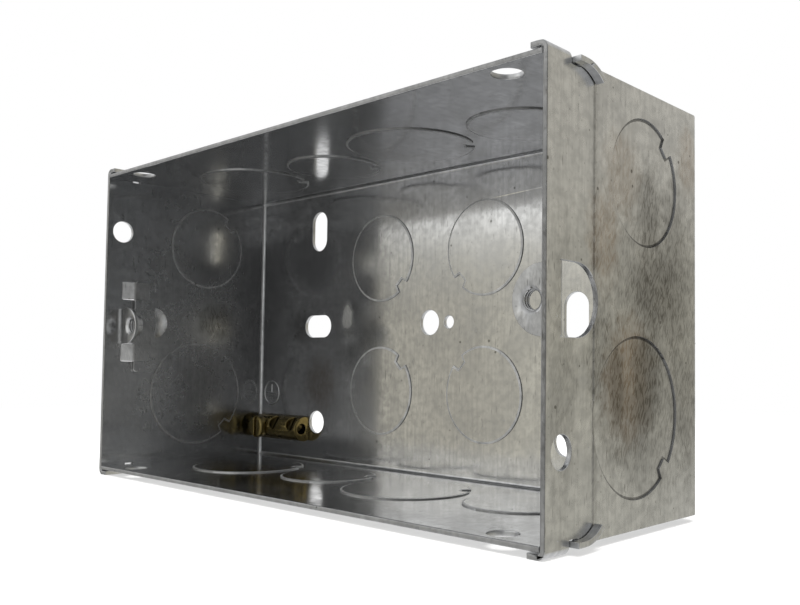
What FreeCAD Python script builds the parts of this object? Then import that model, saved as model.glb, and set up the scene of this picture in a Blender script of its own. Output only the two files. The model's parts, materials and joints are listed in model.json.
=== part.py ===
import FreeCAD, Part
import math
import os

V = FreeCAD.Vector
X = V(1, 0, 0)
Y = V(0, 1, 0)
Z = V(0, 0, 1)

# Millimetres. X runs along the box, Z is up, and Y runs from the open front to the back.
# The origin is the middle of the back plate's outer face. "Depth" is counted from the front rim.

# Folded sheet
box_width = 132.0
box_height = 72.0
box_depth = 47.0
sheet = 0.9
bend_radius = 0.8           # inside radius of the folds round the back plate
tight_radius = 0.5          # inside radius of the small tongues and tabs
seam_gap = 0.1              # open seam where a long wall meets an end wall
relief_hole = 1.1           # open corner where three faces meet at the back, from the outer faces
lance_gap = 0.1             # room on each side of a tongue in the hole it was bent from

# Knockouts: discs sheared part way, pushed in, and held by one tie
small_knockout = 21.4
large_knockout = 26.4
knockout_step = 0.3         # how far a disc is pushed into the box
tie_width = 3.4             # at the disc's rim
tie_tip = 2.2               # width of its inner end
tie_reach = 1.8             # how far it runs into the disc
knockout_rear_depth = 38.6  # depth of the rear edge of every side knockout
back_knockout_x = 16.3
back_knockout_z = 16.2
end_small_z = 20.6
end_large_z = -18.0
long_knockout_pitch = 27.0
end_tie_angle = 45.0        # from the depth direction, away from the middle
long_tie_angle = 35.0       # from +X, towards the back

# Fixing holes in the back plate
fixing_hole = 5.8
fixing_slot_length = 10.4
pilot_hole = 2.9
pilot_x = 6.0
fixing_inset = 24.7         # from the end walls' inner faces to the outer fixing holes
fixing_z = 25.1

# Small holes behind the front rim
rim_hole = 5.2
rim_hole_depth = 4.0
end_rim_hole_inset = 12.9   # from the long walls' inner faces
long_rim_hole_inset = 9.6   # from the end walls' inner faces

# Die line pressed across the end walls
die_line_depth = 12.3
die_line_width = 0.6
die_line_sink = 0.15

# Corner tabs of the end walls, folded over the long walls
tab_depth = 6.2
tab_reach = 3.2
tab_gap = 0.25              # from the long wall to the tab over it

# Corner ears of the long walls, which stand out through a notch in the end walls and curl down
ear_reach = 1.6             # past the end wall's outer face
ear_flat = 1.7              # before the curl
ear_curl = 0.3              # after it
ear_curl_angle = 42.0
ear_radius = 6.4            # inside radius of the curl
ear_room = 0.2              # round an ear in its notch

# Lugs for the cover's screws
lug_setback = 4.0           # depth of the lugs' front faces
lug_hole_inset = 4.8        # from the end wall's inner face to the screw hole
lug_tapped_hole = 3.2
lug_collar = 5.0
lug_collar_height = 1.1
lug_dish = 4.6
lug_dish_depth = 0.4
fixed_lug_width = 11.0
fixed_lug_tip = 3.5         # from the screw hole to the end of the tongue
fixed_lug_window_depth = 13.5

# Sliding lug and the hooks that hold it
slide_clearance = 0.1
slide_travel = 2.3
sliding_lug_width = 8.6
sliding_lug_tip = 2.6
slider_length = 22.8
slider_width = 5.4
slider_corner = 1.0
hook_width = 4.2
hook_root_depth = 4.5
hook_ramp = 2.5             # run of the hook's ramp along the wall
hook_arm = 3.4
slider_hook_room = 0.2      # from the top of the ramp to the slider's front edge
catch_radius = 3.9
catch_rise = 1.3

# Brass earth terminal
bar_diameter = 6.4
bar_thickness = 4.6         # from the seat on the back plate to the front of the bar
bar_height = 8.0            # from the lower wall's inner face to the bar's axis
bar_end_gap = 2.6           # from the left wall's inner face to the bar
bar_hole_gap = 0.3          # from the bar to the nearest fixing hole
conductor_bore = 2.8
conductor_bore_length = 12.0
screw_clearance = 0.05
fixing_screw = 3.5
fixing_screw_inset = 3.3
fixing_head = 5.8
fixing_head_height = 2.2
fixing_seat_sink = 0.8
fixing_chamfer = 0.45
fixing_slot = 0.9
fixing_slot_sink = 0.9
clamp_hole = 3.8
clamp_inset = 2.3
clamp_pitch = 7.3
clamp_tilt = 30.0           # the clamp screws look up from the front by this angle
clamp_sink = 0.7
clamp_length = 1.9
clamp_slot = 0.7
clamp_slot_sink = 0.6

# Places that follow from the sizes
half_width = box_width / 2
half_height = box_height / 2
inner_x = half_width - sheet
inner_z = half_height - sheet
fixing_x = inner_x - fixing_inset
long_rim_hole_x = inner_x - long_rim_hole_inset
end_rim_hole_z = inner_z - end_rim_hole_inset
rim_y = -box_depth
plate_y = -sheet
fold = bend_radius + sheet
past = 2 * sheet            # how far a cutter runs past the sheet
lug_hole_x = inner_x - lug_hole_inset
hook_lift = sheet + 2 * slide_clearance
slot_inner_edge = sliding_lug_width / 2 + slide_travel / 2 + slide_clearance
hook_arm_depth = hook_root_depth + hook_ramp
slider_front_depth = hook_arm_depth + slider_hook_room
slider_rear_depth = slider_front_depth + slider_width
catch_depth = slider_rear_depth + slide_clearance
slider_rest_z = -slide_travel / 2
bar_left = -inner_x + bar_end_gap
bar_right = -fixing_x - fixing_hole / 2 - bar_hole_gap
bar_z = -inner_z + bar_height
bar_y = plate_y - bar_thickness + bar_diameter / 2
bar_front = plate_y - bar_thickness
fixing_screw_x = bar_left + fixing_screw_inset


def depth_y(depth):
    """Y of a point that lies this far behind the front rim."""
    return rim_y + depth


def block(low, high):
    """Box between two opposite corners, in any order."""
    corner = V(min(low.x, high.x), min(low.y, high.y), min(low.z, high.z))
    size = V(abs(high.x - low.x), abs(high.y - low.y), abs(high.z - low.z))
    return Part.makeBox(size.x, size.y, size.z, corner)


def drill(point, axis, diameter, length):
    """Round cutter that starts at a point and runs along an axis."""
    return Part.makeCylinder(diameter / 2, length, point, axis)


def stadium(centre, along, normal, length, width, thickness):
    """Round-ended plate, centred in its plane, which grows along its normal."""
    radius = width / 2
    reach = along * ((length - width) / 2)
    side = normal.cross(along) * radius
    nose = along * radius
    front = centre + reach
    rear = centre - reach
    outline = Part.Wire([
        Part.LineSegment(rear + side, front + side).toShape(),
        Part.Arc(front + side, front + nose, front - side).toShape(),
        Part.LineSegment(front - side, rear - side).toShape(),
        Part.Arc(rear - side, rear - nose, rear + side).toShape(),
    ])
    return Part.Face(outline).extrude(normal * thickness)


def bent_line(corners, radius, normal, offset):
    """Edges along one face of a bent strip, which lies to the left of its corners."""
    edges = []
    heading = (corners[1] - corners[0]).normalize()
    here = corners[0] + normal.cross(heading) * offset
    for corner, following in zip(corners[1:-1], corners[2:]):
        turned = (following - corner).normalize()
        side = math.copysign(1, heading.cross(turned).dot(normal))
        path_radius = radius + (sheet if side > 0 else 0)
        reach = path_radius * math.tan(heading.getAngle(turned) / 2)
        begin = corner - heading * reach
        centre = begin + normal.cross(heading) * (side * path_radius)
        outward = (corner - centre).normalize()
        arc_start = begin + normal.cross(heading) * offset
        arc_middle = centre + outward * (path_radius - side * offset)
        arc_end = corner + turned * reach + normal.cross(turned) * offset
        edges.append(Part.LineSegment(here, arc_start).toShape())
        edges.append(Part.Arc(arc_start, arc_middle, arc_end).toShape())
        here = arc_end
        heading = turned
    edges.append(Part.LineSegment(here, corners[-1] + normal.cross(heading) * offset).toShape())
    return edges


def bent_strip(corners, radius, width):
    """Strip of sheet bent along a line of corners and drawn out along its width."""
    normal = V(width).normalize()
    near = bent_line(corners, radius, normal, 0)
    far = bent_line(corners, radius, normal, sheet)
    caps = [
        Part.LineSegment(near[0].firstVertex().Point, far[0].firstVertex().Point).toShape(),
        Part.LineSegment(near[-1].lastVertex().Point, far[-1].lastVertex().Point).toShape(),
    ]
    outline = Part.Wire(Part.__sortEdges__(near + far + caps))
    return Part.Face(outline).extrude(width)


def four_corners(shape):
    """A shape at the right upper corner, repeated at all four corners."""
    right = [shape, shape.mirror(V(), Z)]
    return right + [piece.mirror(V(), X) for piece in right]


def rounded_at_back(solid, radius):
    """Solid with the edges of its rearmost face rounded."""
    rear = solid.BoundBox.YMax
    edges = [edge for edge in solid.Edges if edge.BoundBox.YMin > rear - radius / 2]
    return solid.makeFillet(radius, edges)


def folded_tray():
    """Back plate with four walls. The end walls cover the long walls' ends, with an open seam between."""
    outer = block(V(-half_width, rim_y, -half_height), V(half_width, 0, half_height))
    inner = block(V(-inner_x, rim_y - past, -inner_z), V(inner_x, plate_y, inner_z))
    tray = rounded_at_back(outer, fold).cut(rounded_at_back(inner, bend_radius))
    seam = block(V(inner_x - seam_gap, rim_y - past, inner_z), V(inner_x, -fold, half_height + past))
    corner = V(half_width, 0, half_height)
    mitre = block(V(-fold, -fold, -seam_gap / 2), V(past, -bend_radius, seam_gap / 2))
    mitre.Placement = FreeCAD.Placement(corner, FreeCAD.Rotation(Y, -45))
    relief = block(corner - V(relief_hole, relief_hole, relief_hole), corner + V(past, past, past))
    corner_room = block(V(inner_x - seam_gap, rim_y - past, inner_z - seam_gap),
                        V(half_width + past, depth_y(tab_depth + seam_gap), half_height + past))
    cutters = [seam, mitre, relief, corner_room]
    return tray.cut([piece for cutter in cutters for piece in four_corners(cutter)])


def corner_tab():
    """Front tab of the right end wall, folded over the upper long wall."""
    fold_z = half_height + tab_gap
    corners = [
        V(inner_x, rim_y, inner_z - past),
        V(inner_x, rim_y, fold_z),
        V(half_width - tab_reach, rim_y, fold_z),
    ]
    return bent_strip(corners, tight_radius, Y * tab_depth)


def corner_ear():
    """Ear of the upper long wall, which runs through the right end wall and curls down outside it."""
    angle = math.radians(ear_curl_angle)
    curl_reach = ear_radius * math.tan(angle / 2)
    start = V(half_width + seam_gap, depth_y(tab_depth + seam_gap), inner_z)
    turn = start + Y * (ear_flat + curl_reach)
    tip = turn + (Y * math.cos(angle) - Z * math.sin(angle)) * (curl_reach + ear_curl)
    curled = bent_strip([start, turn, tip], ear_radius, X * (ear_reach - seam_gap))
    root = block(V(inner_x - past, start.y, inner_z), V(half_width + ear_reach, start.y + ear_flat, half_height))
    notch = block(V(inner_x - seam_gap, depth_y(tab_depth), inner_z - ear_room),
                  V(half_width + past, start.y + ear_flat + ear_room, half_height + past))
    return curled.fuse(root), notch


def knockout_disc(centre, inward, diameter, tie_direction):
    """Pushed-in part of one knockout: a disc without the tie that still holds it."""
    disc = Part.makeCylinder(diameter / 2, knockout_step, centre, inward)
    across = inward.cross(tie_direction)
    outline = []
    for radius, width in ((diameter / 2 - tie_reach, tie_tip), (diameter / 2, tie_width), (diameter, tie_width)):
        middle = centre + tie_direction * radius
        outline = [middle - across * (width / 2)] + outline + [middle + across * (width / 2)]
    tie = Part.Face(Part.makePolygon(outline + outline[:1])).extrude(inward * knockout_step)
    return disc.cut(tie)


def knockouts():
    """Discs on the inner faces of the walls, each with the direction that it is pushed in."""
    small_y = depth_y(knockout_rear_depth - small_knockout / 2)
    large_y = depth_y(knockout_rear_depth - large_knockout / 2)
    discs = []
    for side_x in (-1, 1):
        for side_z in (-1, 1):
            centre = V(side_x * back_knockout_x, plate_y, side_z * back_knockout_z)
            tie = V(-side_x, 0, -side_z).normalize()
            discs.append((knockout_disc(centre, -Y, small_knockout, tie), -Y))
    tie_along = math.cos(math.radians(end_tie_angle))
    tie_away = math.sin(math.radians(end_tie_angle))
    for side in (-1, 1):
        upper = V(side * inner_x, small_y, end_small_z)
        lower = V(side * inner_x, large_y, end_large_z)
        discs.append((knockout_disc(upper, X * -side, small_knockout, V(0, tie_along, tie_away)), X * -side))
        discs.append((knockout_disc(lower, X * -side, large_knockout, V(0, tie_along, -tie_away)), X * -side))
    tie = V(math.cos(math.radians(long_tie_angle)), math.sin(math.radians(long_tie_angle)), 0)
    row = [(-1.5, large_y, large_knockout), (-0.5, small_y, small_knockout),
           (0.5, large_y, large_knockout), (1.5, small_y, small_knockout)]
    for side in (-1, 1):
        for place, centre_y, diameter in row:
            centre = V(place * long_knockout_pitch, centre_y, side * inner_z)
            discs.append((knockout_disc(centre, Z * -side, diameter, tie), Z * -side))
    return discs


def back_plate_holes():
    """Fixing holes and slots, which repeat on the other side after half a turn, and the pilot hole."""
    start = plate_y - past
    length = sheet + 2 * past
    holes = [
        drill(V(0, start, 0), Y, fixing_hole, length),
        drill(V(pilot_x, start, 0), Y, pilot_hole, length),
        drill(V(-fixing_x, start, -fixing_z), Y, fixing_hole, length),
        drill(V(fixing_x, start, fixing_z), Y, fixing_hole, length),
        drill(V(fixing_screw_x, start, bar_z), Y, fixing_screw + 2 * screw_clearance, length),
    ]
    slots = [(-fixing_x, fixing_z, Z), (-fixing_x, 0, X), (fixing_x, 0, Z), (fixing_x, -fixing_z, X)]
    for x, z, along in slots:
        holes.append(stadium(V(x, start, z), along, Y, fixing_slot_length, fixing_hole, length))
    return holes


def rim_holes():
    """Small holes behind the front rim of the four walls."""
    y = depth_y(rim_hole_depth)
    length = sheet + 2 * past
    holes = []
    for side in (-1, 1):
        holes.append(drill(V(side * (inner_x - past), y, -side * end_rim_hole_z), X * side, rim_hole, length))
        for end in (-1, 1):
            holes.append(drill(V(end * long_rim_hole_x, y, side * (inner_z - past)), Z * side, rim_hole, length))
    return holes


def die_line():
    """Shallow groove across the outer face of the right end wall."""
    y = depth_y(die_line_depth)
    corners = [
        V(half_width, y - die_line_width / 2, -half_height),
        V(half_width - die_line_sink, y, -half_height),
        V(half_width, y + die_line_width / 2, -half_height),
    ]
    return Part.Face(Part.makePolygon(corners + corners[:1])).extrude(Z * box_height)


def tapped_collar(x, z):
    """Raised collar behind a lug's screw hole, and the cutter for the hole and its dished mouth."""
    front = V(x, depth_y(lug_setback), z)
    collar = Part.makeCylinder(lug_collar / 2, sheet + lug_collar_height, front, Y)
    hole = drill(front - Y * past, Y, lug_tapped_hole, 2 * past + sheet + lug_collar_height)
    dish = Part.makeCone(lug_dish / 2, lug_tapped_hole / 2, lug_dish_depth, front, Y)
    return collar, hole.fuse(dish)


def fixed_lug_window():
    """D-shaped window that the fixed lug was bent out of."""
    width = fixed_lug_width + 2 * lance_gap
    front = depth_y(lug_setback - tight_radius)
    rear = depth_y(fixed_lug_window_depth)
    centre = V(inner_x - past, rear - box_depth / 2, 0)
    rounded = stadium(centre, Y, X, box_depth, width, sheet + 2 * past)
    keep = block(V(inner_x - past, front, -width), V(half_width + past, rear, width))
    return rounded.common(keep)


def fixed_lug():
    """Tongue bent in from the right end wall, with its tapped hole."""
    tip_x = lug_hole_x - fixed_lug_tip
    z = fixed_lug_width / 2
    corners = [
        V(inner_x, depth_y(lug_setback - tight_radius - sheet), z),
        V(inner_x, depth_y(lug_setback), z),
        V(tip_x, depth_y(lug_setback), z),
    ]
    strip = bent_strip(corners, tight_radius, -Z * fixed_lug_width)
    rounding = stadium(V(tip_x + box_width / 2, rim_y, 0), X, Y, box_width, fixed_lug_width, box_depth)
    collar, hole = tapped_collar(lug_hole_x, 0)
    return strip.common(rounding).fuse(collar).cut(hole)


def hook(side):
    """Hook of the left end wall, lanced in over the slider: its strip, and the window under it."""
    middle = side * (slot_inner_edge + hook_width / 2)
    z = middle + hook_width / 2
    under = -inner_x + hook_lift
    corners = [
        V(-half_width, depth_y(hook_root_depth - sheet), z),
        V(-half_width, depth_y(hook_root_depth), z),
        V(under, depth_y(hook_arm_depth), z),
        V(under, depth_y(hook_arm_depth + hook_arm), z),
    ]
    strip = bent_strip(corners, tight_radius, -Z * hook_width)
    blank = math.hypot(hook_ramp, hook_lift + sheet) + hook_arm
    half = hook_width / 2 + lance_gap
    window = block(V(-half_width - past, depth_y(hook_root_depth), middle - half),
                   V(-inner_x + past, depth_y(hook_root_depth + blank), middle + half))
    return strip, window


def half_dome(base_x):
    """Half of a shallow dome that rises into the box from the left wall."""
    ball_radius = (catch_radius ** 2 + catch_rise ** 2) / (2 * catch_rise)
    straight_y = depth_y(catch_depth)
    ball = Part.makeSphere(ball_radius, V(base_x + catch_rise - ball_radius, straight_y, 0))
    keep = block(V(base_x, straight_y, -catch_radius), V(base_x + catch_rise, straight_y + catch_radius, catch_radius))
    return ball.common(keep)


def box_body():
    """The whole folded sheet."""
    discs = knockouts()
    pockets = [disc.translated(inward * -sheet) for disc, inward in discs]
    hook_strips, hook_windows = zip(hook(-1), hook(1))
    ear, ear_notch = corner_ear()
    groove = die_line()
    cutters = pockets + back_plate_holes() + rim_holes() + four_corners(ear_notch) + list(hook_windows)
    cutters += [fixed_lug_window(), groove, groove.mirror(V(), X), half_dome(-half_width)]
    added = [disc for disc, inward in discs] + four_corners(corner_tab()) + four_corners(ear)
    added += list(hook_strips) + [fixed_lug()]
    body = folded_tray().cut(cutters)
    catch = half_dome(-inner_x).cut(half_dome(-half_width))
    return body.fuse(added + [catch]).removeSplitter()


def adjustable_lug():
    """Sliding plate with a tapped tongue, at the lower end of its travel."""
    wall_side = -inner_x + slide_clearance
    z = slider_rest_z
    tip_x = -lug_hole_x + sliding_lug_tip
    corners = [
        V(wall_side, depth_y(slider_rear_depth), z - sliding_lug_width / 2),
        V(wall_side, depth_y(lug_setback), z - sliding_lug_width / 2),
        V(tip_x, depth_y(lug_setback), z - sliding_lug_width / 2),
    ]
    tongue = bent_strip(corners, tight_radius, Z * sliding_lug_width)
    rounding = stadium(V(tip_x - box_width / 2, rim_y, z), X, Y, box_width, sliding_lug_width, box_depth)
    plate = block(V(wall_side, depth_y(slider_front_depth), z - slider_length / 2),
                  V(wall_side + sheet, depth_y(slider_rear_depth), z + slider_length / 2))
    plate = plate.makeFillet(slider_corner, [edge for edge in plate.Edges if edge.BoundBox.XLength > sheet / 2])
    collar, hole = tapped_collar(-lug_hole_x, z)
    return plate.fuse([tongue.common(rounding), collar]).cut(hole).removeSplitter()


def clamp_places():
    """Mouth of each clamp screw's hole, on the bar's axis, with the direction that it looks out."""
    tilt = math.radians(clamp_tilt)
    outward = V(0, -math.cos(tilt), math.sin(tilt))
    last = bar_right - clamp_inset
    return [(V(x, bar_y, bar_z), outward) for x in (last - clamp_pitch, last)]


def earth_terminal():
    """Round brass bar with a flat seat, a bore for the conductor and the holes for its screws."""
    bar = Part.makeCylinder(bar_diameter / 2, bar_right - bar_left, V(bar_left, bar_y, bar_z), X)
    seat = block(V(bar_left - past, plate_y, bar_z - bar_diameter), V(bar_right + past, past, bar_z + bar_diameter))
    bore_start = V(bar_right - conductor_bore_length, (bar_front + plate_y) / 2, bar_z)
    cutters = [seat, drill(bore_start, X, conductor_bore, conductor_bore_length + past)]
    head_seat = V(fixing_screw_x, bar_front + fixing_seat_sink, bar_z)
    cutters.append(drill(head_seat, -Y, fixing_head + 4 * screw_clearance, bar_thickness))
    cutters.append(drill(head_seat, Y, fixing_screw + 2 * screw_clearance, bar_thickness))
    for point, outward in clamp_places():
        cutters.append(drill(point, outward, clamp_hole, bar_diameter))
    return bar.cut(cutters)


def slotted(screw, top, outward, width, sink, reach):
    """Screw with a driver's slot across its top."""
    across = X.cross(outward)
    slot = block(V(-width / 2, -reach, -sink), V(width / 2, reach, sink))
    slot.Placement = FreeCAD.Placement(top, FreeCAD.Rotation(X, across, outward))
    return screw.cut(slot)


def terminal_screw():
    """Cheese-head screw that holds the bar, with its end flush with the back plate."""
    seat = V(fixing_screw_x, bar_front + fixing_seat_sink, bar_z)
    top = seat - Y * fixing_head_height
    head = Part.makeCylinder(fixing_head / 2, fixing_head_height, top, Y)
    rim = [edge for edge in head.Edges if edge.BoundBox.YMax < top.y + fixing_head_height / 2]
    head = head.makeChamfer(fixing_chamfer, rim)
    shank = Part.makeCylinder(fixing_screw / 2, -seat.y, seat, Y)
    return slotted(head.fuse(shank), top, -Y, fixing_slot, fixing_slot_sink, fixing_head).removeSplitter()


def clamp_screws():
    """Sunk screws that press on the conductor."""
    screws = []
    for point, outward in clamp_places():
        top = point + outward * (bar_diameter / 2 - clamp_sink)
        screw = Part.makeCylinder(clamp_hole / 2 - screw_clearance, clamp_length, top, -outward)
        screws.append(slotted(screw, top, outward, clamp_slot, clamp_slot_sink, clamp_hole))
    return Part.makeCompound(screws)


os.makedirs("parts", exist_ok=True)
for piece in (box_body, adjustable_lug, earth_terminal, terminal_screw, clamp_screws):
    piece().exportStep(f"parts/{piece.__name__}.step")
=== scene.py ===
import json
import math
from functools import partial

import bmesh
import bpy
from bpy.props import FloatProperty, FloatVectorProperty, IntProperty, PointerProperty
from mathutils import Matrix, Vector
from mathutils.geometry import delaunay_2d_cdt


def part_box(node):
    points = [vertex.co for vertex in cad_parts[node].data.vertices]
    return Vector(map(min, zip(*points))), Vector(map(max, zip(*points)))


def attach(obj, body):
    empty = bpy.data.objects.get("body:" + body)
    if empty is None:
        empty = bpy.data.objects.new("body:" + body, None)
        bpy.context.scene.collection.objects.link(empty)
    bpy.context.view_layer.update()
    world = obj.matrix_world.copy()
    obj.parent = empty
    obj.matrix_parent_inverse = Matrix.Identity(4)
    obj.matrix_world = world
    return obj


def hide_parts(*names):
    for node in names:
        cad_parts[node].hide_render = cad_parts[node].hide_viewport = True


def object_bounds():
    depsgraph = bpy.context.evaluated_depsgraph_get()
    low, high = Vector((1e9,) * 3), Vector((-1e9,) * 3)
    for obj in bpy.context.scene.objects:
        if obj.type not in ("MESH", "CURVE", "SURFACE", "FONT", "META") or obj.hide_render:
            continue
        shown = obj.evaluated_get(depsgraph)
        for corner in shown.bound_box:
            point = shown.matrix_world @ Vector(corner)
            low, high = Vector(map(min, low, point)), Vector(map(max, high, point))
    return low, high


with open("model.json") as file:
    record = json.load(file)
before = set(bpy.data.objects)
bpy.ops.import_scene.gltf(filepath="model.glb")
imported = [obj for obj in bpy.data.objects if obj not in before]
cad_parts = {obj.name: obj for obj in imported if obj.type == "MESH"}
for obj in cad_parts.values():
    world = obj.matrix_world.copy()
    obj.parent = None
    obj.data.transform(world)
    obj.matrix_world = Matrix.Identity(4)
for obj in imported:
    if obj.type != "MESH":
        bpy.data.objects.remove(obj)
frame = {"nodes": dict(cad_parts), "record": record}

bl_info = {
    "name": "Flush Back Box",
    "version": (1, 0, 0),
    "blender": (4, 5, 0),
    "location": "View3D > Sidebar > Back Box",
    "description": "Finishes a folded steel wall box with its sliding lug and brass earth terminal",
    "category": "Object",
}

MM = 0.001
CAD_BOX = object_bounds()
BODY_LOW, BODY_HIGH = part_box("box_body")

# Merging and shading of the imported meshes
MERGE_DISTANCE = 0.0005 * MM
SEAM_TOLERANCE = 0.005 * MM
LEVEL_TOLERANCE = 0.02 * MM
FILL_TOLERANCE = 0.005          # share of a flat face's area
FILL_PRECISION = 1e-4           # in mm
STRAIGHT = 0.9999               # least part of a flat face's normal along its axis
LUG_FLAT = 0.999                # the same on the sliding lug's plate, across the wall
UPRIGHT = 0.1                   # largest part of a shear wall's normal along the plane's axis
BROAD_SHARE = 0.5               # least area of a broad face, as a share of the largest one that faces its way
DISC_SIDES = 16                 # a knockout's disc has more sides than this
DISC_SHEARED = 0.6              # least share of them along a shear wall
FLAT_ANGLE = math.radians(0.4)
CREASE_ANGLE = math.radians(30)
SMOOTH_ANGLE = math.radians(15)
ROUNDING_STEPS = 2
RELIEF_REACH = 4 * MM           # size of the open corners at the back
LUG_HOLE_TO_FACE = 5.7 * MM     # from the fixed lug's hole to the end wall's outer face

# Layers of a finished mesh. Worked faces are cut or bent, and the front rim has its own value. On the brass,
# Worked marks the clamp screws, which get painted shade.
SHEET_UV = "Sheet"
SHEAR = "Shear"
WORKED = "Worked"
FRONT_RIM = 2.0
ROUNDING = "bevel_weight_edge"
OUTER_SIDE = 4 * (BODY_HIGH.x - BODY_LOW.x)    # from the inner side to the outer one on the sheet laid flat


# Values that a user would change

ColourProperty = partial(FloatVectorProperty, subtype="COLOR", size=4, min=0, max=1)
LengthProperty = partial(FloatProperty, unit="LENGTH", min=0)
ShareProperty = partial(FloatProperty, subtype="FACTOR", min=0, max=1)


class SheetFinish(bpy.types.PropertyGroup):
    """Zinc-coated sheet: its colour, gloss, wear and edges."""
    zinc: ColourProperty(
        name="Zinc", description="Colour of the clean zinc coat", default=(0.63, 0.635, 0.64, 1))
    dull_zinc: ColourProperty(
        name="Dull Zinc", description="Colour of the coat where it has weathered",
        default=(0.36, 0.365, 0.37, 1))
    # Also the colour of the painted shade in the outer shear gaps, along the die line and on the left wall
    # beside the lug
    grime_and_shade: ColourProperty(
        name="Grime", description="Colour of dark specks and rubbed dirt", default=(0.06, 0.055, 0.045, 1))
    stain: ColourProperty(
        name="Stain", description="Colour of the brown water stains", default=(0.27, 0.19, 0.12, 1))
    # Also the colour of the painted light on the bottom wall and the left wall's lower front, and of the
    # painted highlight on the lug's catch
    bright_zinc_and_light: ColourProperty(
        name="Bright Zinc", description="Colour of the coat where it has been rubbed bright",
        default=(0.82, 0.82, 0.81, 1))
    gloss_roughness: ShareProperty(
        name="Roughness", description="Roughness of the clean coat", default=0.11)
    edge_rounding: LengthProperty(
        name="Edge Rounding", description="Width of the rounding on the front rim", default=0.24 * MM)
    cut_rounding: ShareProperty(
        name="Cut Rounding", description="Rounding of the other cut edges, as a share of the rim's",
        default=0.45)
    knockout_step: LengthProperty(
        name="Knockout Step", description="How far the knockouts are pushed in", default=0.3 * MM)
    knockout_lip: LengthProperty(
        name="Knockout Lip", description="Width of the rolled lip round a knockout", default=0.46 * MM)
    lip_drop: LengthProperty(
        name="Lip Drop", description="How far the rolled lip falls at its edge", default=0.09 * MM)
    worked_roughness: ShareProperty(
        name="Worked Roughness", description="Roughness that cutting and bending add", default=0.2)
    grain_size: LengthProperty(
        name="Grain Size", description="Radius of the largest zinc grain", default=0.16 * MM)
    grain_density: FloatProperty(
        name="Grain Density", description="Zinc grains on a square metre of sheet", min=0, default=9000)
    grain_seed: IntProperty(
        name="Grain Seed", description="Seed of the places of the zinc grains", default=7)


class BrassFinish(bpy.types.PropertyGroup):
    """Brass of the earth terminal."""
    brass: ColourProperty(
        name="Brass", description="Colour of the bright brass", default=(0.30, 0.235, 0.095, 1))
    # Also the colour of the painted shade on the clamp screws set down in the bar
    tarnish_and_shade: ColourProperty(
        name="Tarnish", description="Colour of the dulled brass", default=(0.09, 0.07, 0.03, 1))
    brass_roughness: ShareProperty(
        name="Roughness", description="Roughness of the bright brass", default=0.24)
    edge_rounding: LengthProperty(
        name="Edge Rounding", description="Width of the rounding on turned edges", default=0.12 * MM)


class SignAndThread(bpy.types.PropertyGroup):
    """Earth sign on the back plate and threads in the lugs."""
    sign_radius: LengthProperty(
        name="Sign Radius", description="Radius of the ring round the earth sign", default=3.2 * MM)
    sign_line: LengthProperty(
        name="Sign Line", description="Width of a line of the earth sign", default=0.36 * MM)
    sign_from_wall: LengthProperty(
        name="Sign From Wall", description="From the left wall's outer face to the sign's middle",
        default=6.1 * MM)
    sign_below_middle: LengthProperty(
        name="Sign Below Middle", description="From the box's middle down to the sign's middle",
        default=18.0 * MM)
    thread_pitch: LengthProperty(
        name="Thread Pitch", description="Pitch of the cover screws' thread", default=0.6 * MM)
    thread_ridge: LengthProperty(
        name="Thread Ridge", description="Height of a thread's ridge", default=0.12 * MM)


class StudioStage(bpy.types.PropertyGroup):
    """Camera, floor and light."""
    camera_place: FloatVectorProperty(
        name="Camera", description="Place of the camera",
        subtype="TRANSLATION", unit="LENGTH", size=3, default=(0.13701, -0.14602, -0.00999))
    focal_length: FloatProperty(
        name="Focal Length", description="Focal length on a 36 mm sensor, in millimetres",
        min=1, default=38.77)
    camera_heading: FloatProperty(
        name="Heading", description="Turn of the camera from straight ahead, to the left",
        subtype="ANGLE", default=math.radians(42.395))
    camera_rise: FloatProperty(
        name="Rise", description="Tilt of the camera above the horizon",
        subtype="ANGLE", default=math.radians(2.628))
    camera_roll: FloatProperty(
        name="Roll", description="Roll of the camera about its own line of sight",
        subtype="ANGLE", default=math.radians(-0.697))
    shift: FloatVectorProperty(
        name="Shift", description="Shift of the frame, as shares of its width",
        size=2, default=(-0.0544, 0.0297))
    floor: ColourProperty(
        name="Floor", description="Colour of the pale floor", default=(0.86, 0.855, 0.84, 1))
    floor_radius: LengthProperty(
        name="Floor Radius", description="Radius of the floor", default=4.0)
    surroundings_strength: FloatProperty(
        name="Surroundings", description="Strength of the light from the room", min=0, default=1.0)
    overhead_power: FloatProperty(
        name="Overhead Light", description="Power of the soft light overhead",
        unit="POWER", min=0, default=7.0)


# Room round the box, in bands. A band starts at one sine of the rise and is full at the next. Its stops are
# degrees to the right of straight in front, and the colour or grey that the sheet mirrors there. Behind the
# box every band is white.
WHITE_LEFT = [(-180, 1.00), (-100, 1.00)]
WHITE_RIGHT = [(180, 1.00)]
AHEAD = [(-14, (0.80, 0.79, 0.74)), (0, (1.60, 1.62, 1.64)), (12, (1.20, 1.21, 1.22)),
         (26, (0.62, 0.62, 0.60)), (38, 0.26), (44, 0.14), (52, 0.08)]
LEVEL_BAND = [
    (-80, (0.50, 0.50, 0.48)), (-68, 0.28), (-58, (0.30, 0.30, 0.29)),
    (-50, (0.54, 0.52, 0.45)), (-45, (0.62, 0.59, 0.50)), (-41, (0.56, 0.53, 0.45)),
    (-35, (0.78, 0.75, 0.64)), (-28, (0.82, 0.79, 0.68)), *AHEAD,
    (60, 0.04), (68, 0.04), (90, (0.40, 0.38, 0.33)), (110, (0.60, 0.57, 0.47)),
    (150, (0.60, 0.57, 0.47)), (174, (0.64, 0.61, 0.52)),
]
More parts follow.
